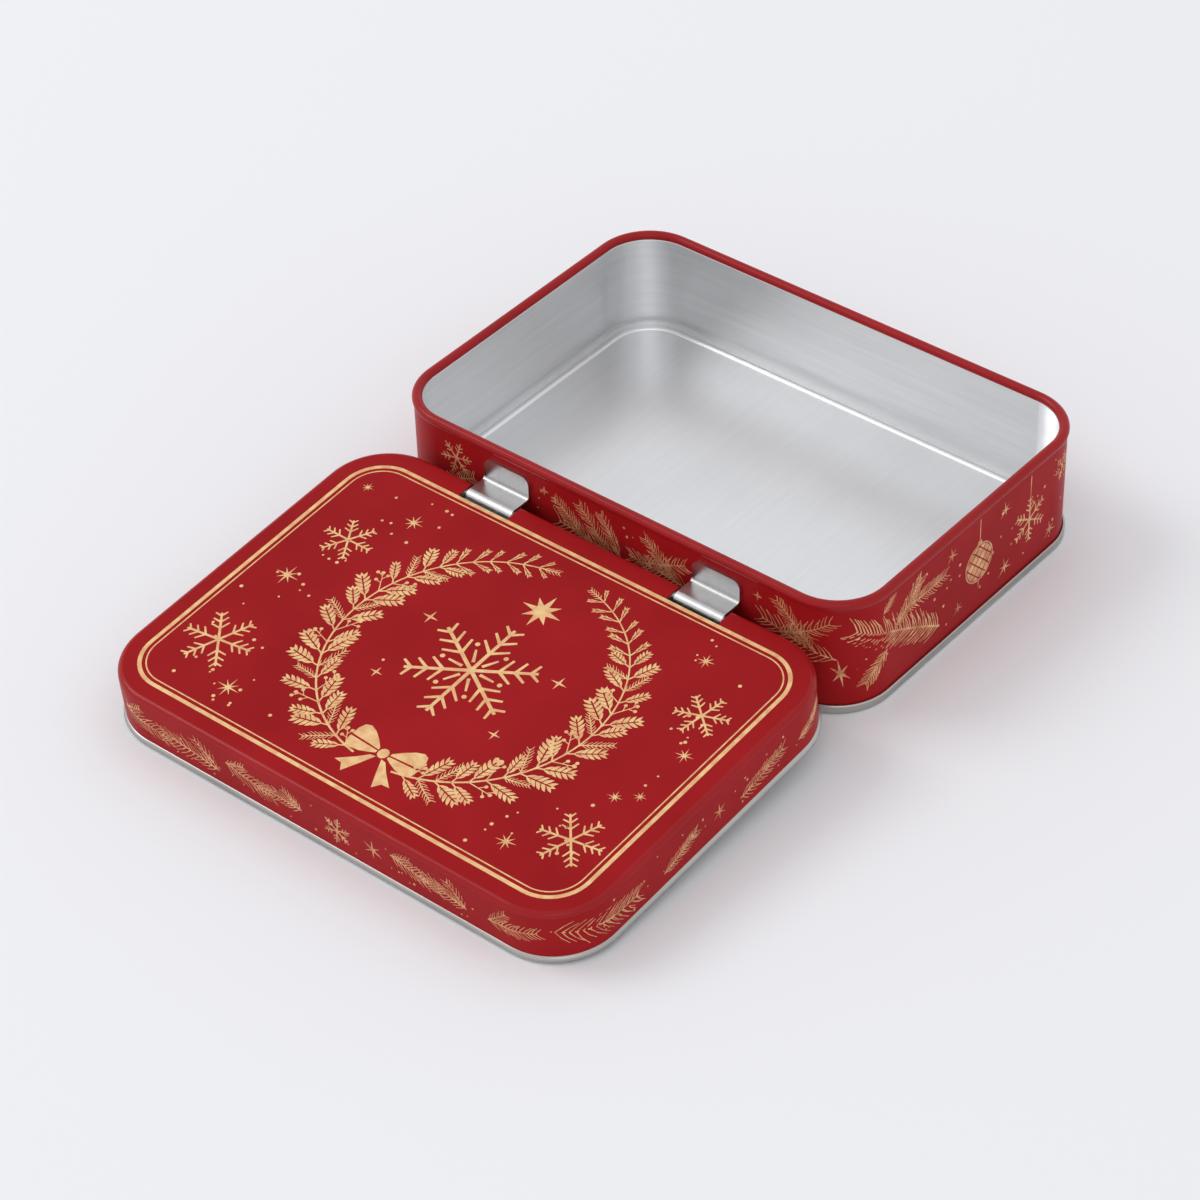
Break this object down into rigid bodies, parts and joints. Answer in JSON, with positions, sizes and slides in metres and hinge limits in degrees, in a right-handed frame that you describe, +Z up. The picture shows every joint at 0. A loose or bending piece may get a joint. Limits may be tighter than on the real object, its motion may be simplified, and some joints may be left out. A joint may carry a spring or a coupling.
{
  "type": "tin case",
  "caption": "Hinged tin case: an open tray with a rolled rim and a seamed bottom, and a shallow lid on curled strap hinges that leans open beside it.",
  "frame": {"origin": "on the surface that the case stands on, under the middle of the whole as drawn: the tray and the lid beside it", "axes": "+X along the hinge side, +Y from the lid to the tray, +Z up"},
  "size_m": [0.134, 0.1886, 0.0306],
  "materials": {
    "red_lacquer": "satin",
    "tinplate": "satin",
    "hinge_steel": "satin"
  },
  "bodies": {
    "tray": {"base_wall": "red_lacquer", "base_bottom": "tinplate", "hinge_strap_left": "hinge_steel", "hinge_strap_right": "hinge_steel"},
    "lid": {"lid_shell": "red_lacquer", "lid_rim": "tinplate", "hinge_pin_left": "hinge_steel", "hinge_pin_right": "hinge_steel"}
  },
  "joints": [
    {"name": "lid_hinge", "type": "hinge", "parent": "tray", "child": "lid", "pos_m": [0, -0.00297, 0.0194], "axis": [-1, 0, 0], "range_deg": [0, 108]}
  ]
}
